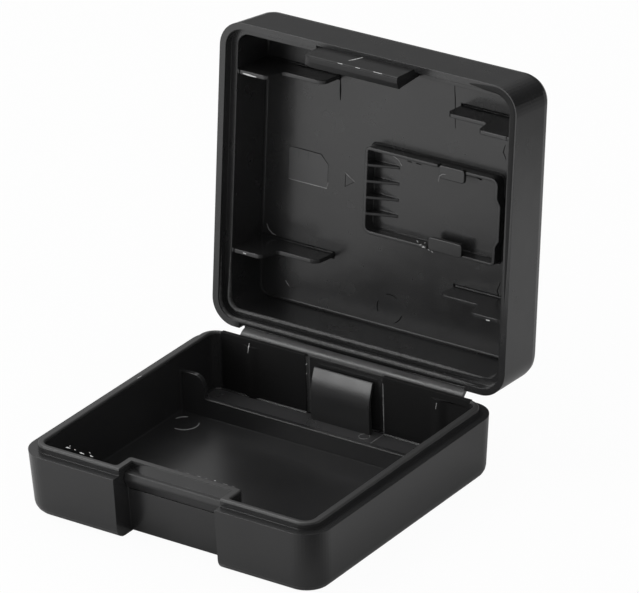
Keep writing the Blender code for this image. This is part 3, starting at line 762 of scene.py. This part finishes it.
def latch():
    """Blade and hook with a sloped nose, soft edges and a round left end."""
    left, right = TAB_ENDS
    section = rounded([
        (TAB_OUTER, 1.9, 0.0), (43.8, 1.9, 0.0), (43.8, 1.5, 0.0), (TAB_INNER, 0.7, 0.3),
        (TAB_INNER, -2.75, 0.3), (43.3, -3.3, 0.12), (43.26, -3.75, 0.25), (44.2, -4.34, 0.4),
        (TAB_OUTER, TAB_TIP, 0.32)], 5)
    middle = 44.3
    end_r = 1.9
    squeeze_top = 0.4
    lean, lean_len = 0.3, 4.4
    rings = []
    for degrees in (8, 20, 32, 45, 60, 75, 90):
        turn = math.radians(degrees)
        full = math.sin(turn)
        x = left + end_r * (1 - math.cos(turn))
        ring = []
        for v, w in section:
            near_tip = min(1.0, max(0.0, (squeeze_top - w) / (squeeze_top - TAB_TIP))) ** 1.5
            squeeze = 1 - (1 - full) * near_tip
            ring.append((x, middle + (v - middle) * squeeze, max(w, TAB_TIP + end_r * (1 - full))))
        rings.append(ring)
    rings.append([(right - lean * min(1.0, (w - TAB_TIP) / lean_len), v, w) for v, w in section])
    bm = bmesh.new()
    loft_into(bm, rings)
    piece = add_piece("latch_hook", bm, "latch", BLADE)
    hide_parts("latch_tab")
    bm = bmesh.new()
    bar_into(bm, "a", left - SEAT, right + SEAT,
             block(TAB_OUTER - SINK, 0.03, TAB_OUTER + SEAT + SINK, 0.6))
    add_piece("latch_seat", bm, "lid", SHELL)


def rib_fillets():
    """Soft feet of the hold-down ribs along the ceiling and the side walls."""
    wall = CASE_W / 2 - LID_WALL
    bm = bmesh.new()
    for v in RIB_V:
        for side in (-1, 1):
            ends = sorted((side * (wall + 0.02), side * (RIB_END + 0.1)))
            for out in (-1, 1):
                face = v + out * RIB_T / 2
                bar_into(bm, "a", ends[0], ends[1], fillet((face, CEILING), (out, 0), (0, -1), 0.15))
                bar_into(bm, "c", RIB_HIGH_W + 0.1, CEILING,
                         fillet((side * wall, face), (-side, 0), (0, out), 0.15))
            x0, x1 = sorted((side * (wall + SINK), side * (wall - SEAT - 0.02)))
            bar_into(bm, "c", RIB_HIGH_W + 0.02, CEILING,
                     block(x0, v - RIB_T / 2 + 0.02, x1, v + RIB_T / 2 - 0.02))
    add_piece("rib_fillets", bm, "lid", INNER)


def pocket_plan(grow, level):
    """Ring round the card pocket, moved outwards by grow, with the swell at its right end."""
    x0, x1, v0, v1 = POCKET
    left, right, low, high = x0 - grow, x1 + grow, v0 - grow, v1 + grow
    middle = (low + high) / 2
    small = 0.3 + grow
    swell = right + 0.57
    outline = rounded([(left, low, 0.8 + grow), (right, low, small), (right, middle - 3.6, 0.0),
                       (swell, middle - 2.6, 0.0), (swell, middle + 2.6, 0.0), (right, middle + 3.6, 0.0),
                       (right, high, 0.6 + grow), (left, high, small)], 5)
    return [(a, b, level) for a, b in outline]


def pocket_fillets():
    """Soft foot round the card frame, inside and out."""
    bm = bmesh.new()
    for grow, out, radius in ((POCKET_WALL, 1, 0.2), (0.0, -1, 0.12)):
        rings = []
        for k in range(7):
            angle = math.pi / 2 * k / 6
            rings.append(pocket_plan(grow + out * radius * (1 - math.sin(angle)),
                                     CEILING - radius * (1 - math.cos(angle))))
        rings.append(pocket_plan(grow - out * 0.08, CEILING - radius))
        rings.append(pocket_plan(grow - out * 0.08, CEILING + 0.06))
        rings.append(pocket_plan(grow + out * radius, CEILING + 0.06))
        loft_into(bm, rings, closed=True)
    add_piece("pocket_fillets", bm, "lid", INNER)


def base_marks():
    """Mould marks and loose flash on the base, with painted highlights on its alcove beads and back wall.
    """
    traces("ejector_ring", "base", SCUFF_AND_HIGHLIGHT, BASE_UP, 0.07, [
        arc_points((-19.6, 9.05), 2.05, -100, 35, FLOOR_T),
        arc_points((-19.6, 9.05), 2.05, 165, 112, FLOOR_T, 6)])
    traces("floor_witness", "base", SCUFF_AND_HIGHLIGHT, BASE_UP, 0.05, [
        [(6.55, IN_BACK + 0.4, FLOOR_T), (6.52, 18.8, FLOOR_T), (6.5, CROSS_Y + CROSS_T, FLOOR_T)],
        arc_points((4.55, 18.95), 0.8, 0, 350, FLOOR_T, 16)])
    # Beads at the alcove's edge and foot, painted pale as painted highlights
    traces("alcove_beads_painted_highlight", "base", SCUFF_AND_HIGHLIGHT, (0, -1, 0), 0.11, [
        [(ALCOVE_HALF, IN_BACK, FLOOR_T), (ALCOVE_HALF, IN_BACK, 6.0), (ALCOVE_HALF, IN_BACK, 9.6)],
        [(ALCOVE_HALF, IN_BACK, FLOOR_T), (11.0, IN_BACK, FLOOR_T), (14.5, IN_BACK, FLOOR_T)]])
    # Painted glints at the crush ribs' tops, and pale specks beside the alcove
    traces("back_glints", "base", PALE_SCRATCH_AND_GLINT, (0, -1, 0), 0.09, [
        [(-16.45, IN_BACK - 0.3, 8.6), (-16.3, IN_BACK - 0.3, 9.5), (-16.15, IN_BACK - 0.3, 10.2)],
        [(15.72, IN_BACK - 0.3, 8.1), (15.95, IN_BACK - 0.3, 9.3)],
        [(-6.5, IN_BACK, 9.2), (-6.4, IN_BACK, 9.35)],
        [(-6.55, IN_BACK, 7.7), (-6.45, IN_BACK, 7.85)]])
    traces("lip_flash", "base", PALE_SCRATCH_AND_GLINT, BASE_UP, 0.08, [
        [(-18.5, -19.35, 10.5), (-18.2, -19.45, 10.7)],
        [(-18.6, -20.0, 10.6), (-18.3, -20.1, 10.7), (-17.9, -19.95, 10.6)],
        [(-17.2, -19.95, 10.6), (-16.9, -20.05, 10.65)],
        [(-16.0, -20.3, 10.6), (-15.6, -20.45, 10.7), (-15.2, -20.35, 10.6)],
        [(-14.9, -19.6, 10.6), (-14.6, -19.75, 10.65)],
        [(-14.3, -20.2, 10.6), (-14.0, -20.4, 10.65), (-13.7, -20.35, 10.6)],
        [(4.75, LIP_INNER_Y, 10.62), (4.95, LIP_INNER_Y, 10.65)],
        [(-22.75, 2.6, 10.6), (-22.7, 3.4, 10.62)]])
    traces("lip_dashes", "base", SCUFF_AND_HIGHLIGHT, BASE_UP, 0.045, [
        [(x, LIP_INNER_Y - 0.05, LIP_TOP), (x + length, LIP_INNER_Y - 0.08, LIP_TOP)]
        for x, length in ((-1.7, 0.35), (0.1, 0.5), (1.9, 0.6), (3.3, 0.3), (6.2, 0.8), (7.7, 0.5))])


def lid_marks():
    """Mould marks and scratches in the lid, with painted glints on its ribs and painted shade at the
    pocket.
    """
    traces("lid_witness", "lid", SHADE, LID_UP, 0.14, [
        [(-10.25, 37.6, CEILING), (-10.2, 36.0, CEILING), (-10.15, 34.4, CEILING)]])
    traces("lid_marks", "lid", SHADE, LID_UP, 0.08, [
        [(8.9, 41.2, CEILING), (9.15, 38.7, CEILING), (9.35, 34.5, CEILING)],
        [(17.75, 33.9, CEILING), (17.45, 32.8, CEILING), (18.0, 31.8, CEILING)],
        [(18.0, 13.5, CEILING), (17.5, 12.1, CEILING), (18.1, 10.8, CEILING)],
        arc_points((-0.4, 5.1), 2.15, 160, 205, CEILING, 6),
        arc_points((-0.4, 5.1), 2.15, 110, 55, CEILING, 6),
        arc_points((-0.4, 5.1), 2.15, -65, -15, CEILING, 6)])
    traces("lid_scuffs_and_clip_highlight", "lid", SCUFF_AND_HIGHLIGHT, LID_UP, 0.05, [
        [(-22.1, 13.0, CEILING), (-21.7, 12.2, CEILING), (-21.0, 11.7, CEILING), (-20.4, 11.6, CEILING)],
        [(-18.5, 5.1, CEILING), (-18.15, 4.7, CEILING), (-17.8, 4.35, CEILING)],
        [(-1.7, 28.3, CEILING), (-0.5, 28.0, CEILING), (0.2, 27.6, CEILING), (0.7, 26.95, CEILING)],
        # A painted highlight round the upper clip's rounded left end
        [(8.2, 26.9, 6.98), (8.35, 27.7, 6.98), (8.8, 28.1, 6.98), (9.4, 28.2, 6.98)]])
    traces("clip_burrs", "lid", PALE_SCRATCH_AND_GLINT, LID_UP, 0.06, [
        [(5.0, 17.3, 7.0), (5.3, 17.1, 6.9)],
        [(5.5, 16.7, 7.0), (5.9, 17.0, 6.85)],
        [(5.9, 16.5, 7.0), (6.3, 16.65, 6.9), (6.5, 16.5, 6.95)],
        [(6.3, 17.2, 7.0), (6.5, 17.35, 6.9)],
        [(7.0, 16.45, 7.0), (7.2, 16.3, 6.95)],
        [(7.5, 16.3, 7.0), (7.8, 16.15, 6.95)]])
    # Painted glints on the hold-down ribs' edges
    traces("rib_glints", "lid", PALE_SCRATCH_AND_GLINT, LID_UP, 0.13, [
        [(-21.9, RIB_V[1] - 0.1, RIB_HIGH_W), (-21.0, RIB_V[1] - 0.15, RIB_HIGH_W),
         (-19.6, RIB_V[1] - 0.2, RIB_HIGH_W)],
        [(-20.9, RIB_V[0], RIB_HIGH_W), (-20.4, RIB_V[0] - 0.05, RIB_HIGH_W)],
        [(20.6, RIB_V[0] - 0.2, RIB_HIGH_W), (21.2, RIB_V[0] - 0.2, RIB_HIGH_W)]])
    # Painted shade in notches on the pocket's top edge and beside its upper clip
    traces("pocket_painted_shade", "lid", SHADE, LID_UP, 0.16, [
        [(2.9, 28.75, 7.0), (3.6, 28.7, 7.0)],
        [(4.4, 28.75, 7.0), (5.2, 28.7, 7.0)],
        [(12.7, 28.7, 7.6), (13.2, 28.4, 8.6), (14.1, 27.9, 8.9)]])
    traces("blade_scratches", "latch", PALE_SCRATCH_AND_GLINT, (0, 1, 0), 0.07, [
        [(-1.3, TAB_OUTER, -2.6), (-0.9, TAB_OUTER, -1.5), (-0.6, TAB_OUTER, -0.1)],
        [(-2.0, TAB_OUTER - 0.05, -4.28), (-1.2, TAB_OUTER - 0.05, -4.28)],
        [(1.0, TAB_OUTER - 0.05, -4.28), (1.7, TAB_OUTER - 0.05, -4.28)],
        [(4.0, TAB_OUTER - 0.05, -4.28), (5.4, TAB_OUTER - 0.05, -4.28)]])


def card_sign():
    """Raised card sign with one cut corner, an arrow that points at the card pocket, and painted light
    and shade on their edges.
    """
    level = CEILING
    card = rounded([(-18.6, 20.7, 0.2), (-11.8, 20.7, 0.2), (-11.8, 24.3, 0.2), (-13.1, 25.6, 0.2),
                    (-18.6, 25.6, 0.2)], 4)
    bm = bmesh.new()
    bar_into(bm, "c", level - SINK, level + 0.05, card)
    add_piece("card_sign", bm, "lid", SIGN)
    # Painted highlights along the sign's lower edge and one edge of the arrow
    traces("card_sign_painted_highlight", "lid", SCUFF_AND_HIGHLIGHT, LID_UP, 0.08, [
        [(-18.5, 20.7, level), (-15.0, 20.7, level), (-11.9, 20.7, level), (-11.75, 21.6, level)],
        [(-7.2, 22.75, level), (-8.8, 23.75, level)]])
    # Painted shade along the sign's upper edge and the arrow's other edges, and two dark contact stripes
    traces("card_sign_contacts_and_painted_shade", "lid", SHADE, LID_UP, 0.07, [
        [(-18.5, 25.6, level), (-16.8, 25.65, level), (-13.1, 25.6, level), (-11.8, 24.3, level)],
        [(-16.9, 25.4, level), (-16.9, 24.3, level)],
        [(-15.3, 25.4, level), (-15.3, 24.3, level)],
        [(-8.8, 23.75, level), (-8.8, 21.7, level), (-7.2, 22.75, level)]])


camera()
world()
floor()
area_light("high_key", HIGH_KEY, KEY_SIZE, HIGH_WATTS)
area_light("low_key", LOW_KEY, KEY_SIZE, LOW_WATTS)

SMOOTH = smooth_shading()
SHELL = plastic("shell_plastic", 0.0135, 0.25)
INNER = plastic("inner_plastic", 0.0145, 0.23, edge=0.00022)
FILM = plastic("film_plastic", 0.014, 0.28, grain=0.2)
TONGUE = plastic("tongue_plastic", 0.022, 0.3, grain=0.6, rough_spread=0.03, flow=0.08)
# Pale flecks: scratches, burrs, flash and specks, and also painted glints on the back wall and the ribs
PALE_SCRATCH_AND_GLINT = flecked("scratched_and_glint_plastic", 0.25, 0.8, 0.6)
# Tray: its lip top is rougher and paler, wear with a painted sheen
TRAY = plastic("tray_plastic", 0.0138, 0.25, rough_spread=0.012, flow=0.15,
               wear_and_sheen=(LIP_WEAR_AND_SHEEN_HEIGHT, 0.027, LIP_WEAR_AND_SHEEN_FADE))
# Strap: paler towards the lid, bend whitening with a painted highlight
STRAP = plastic("strap_plastic", 0.02, 0.26, grain=0.5, rough_spread=0.08,
                wear_and_sheen=(CREASE_WHITENING_AND_HIGHLIGHT_HEIGHT, 0.15, CREASE_WHITENING_AND_HIGHLIGHT_FADE))
PALE_FILLET = flecked("pale_fillet_plastic", 0.02, 0.1, 0.35)
LEDGE = plastic("ledge_plastic", 0.01, 0.33, grain=0.3)
SIGN = plastic("sign_plastic", 0.022, 0.35, grain=0.3)
# Near-black dull plastic: painted shade at the hinge rim, the pocket and the sign, and dark mould marks
SHADE = plastic("shaded_plastic", 0.003, 0.7, shine=0.15)
# Painted shade on the wall behind the bay and on the lid's right rim
DEEP_SHADE = plastic("deep_shade_plastic", 0.0055, 0.6, shine=0.24)
# Painted shade in the turned corners of the lid's ceiling
CORNER_SHADE = plastic("corner_shade_plastic", 0.011, 0.45, shine=0.3)
BLADE = plastic("blade_plastic", 0.011, 0.4, grain=0.3, shine=0.22)
RIDGE = plastic("ridge_plastic", 0.014, 0.35, shine=0.34)
PALE_FLOOR = plastic("pale_floor_plastic", 0.032, 0.3, grain=0.2)
# Paler flecks: mould marks and scuffs, and also painted highlights on the alcove's beads, the upper
# clip's end and the card sign
SCUFF_AND_HIGHLIGHT = flecked("scuffed_and_highlight_plastic", 0.08, 0.3, 0.4)
RAGGED = flecked("ragged_plastic", 0.006, 0.045, 0.45, scale=1700.0, depth=0.00012)
dress(TRAY, "base_tray")
dress(SHELL, "lid_shell")
dress(INNER, "rear_cross_wall", "card_frame", "card_clip_upper", "card_clip_lower",
      "hold_down_rib_front_left", "hold_down_rib_front_right",
      "hold_down_rib_rear_left", "hold_down_rib_rear_right")

strap()
rim_beads()
rim_shades()
ceiling_shade()
back_wall()
hinge_films()
cross_wall_seats()
ledge()
rear_floor()
tongue()
catch()
latch()
rib_fillets()
pocket_fillets()
base_marks()
lid_marks()
card_sign()

bpy.context.scene.view_settings.view_transform = "Standard"
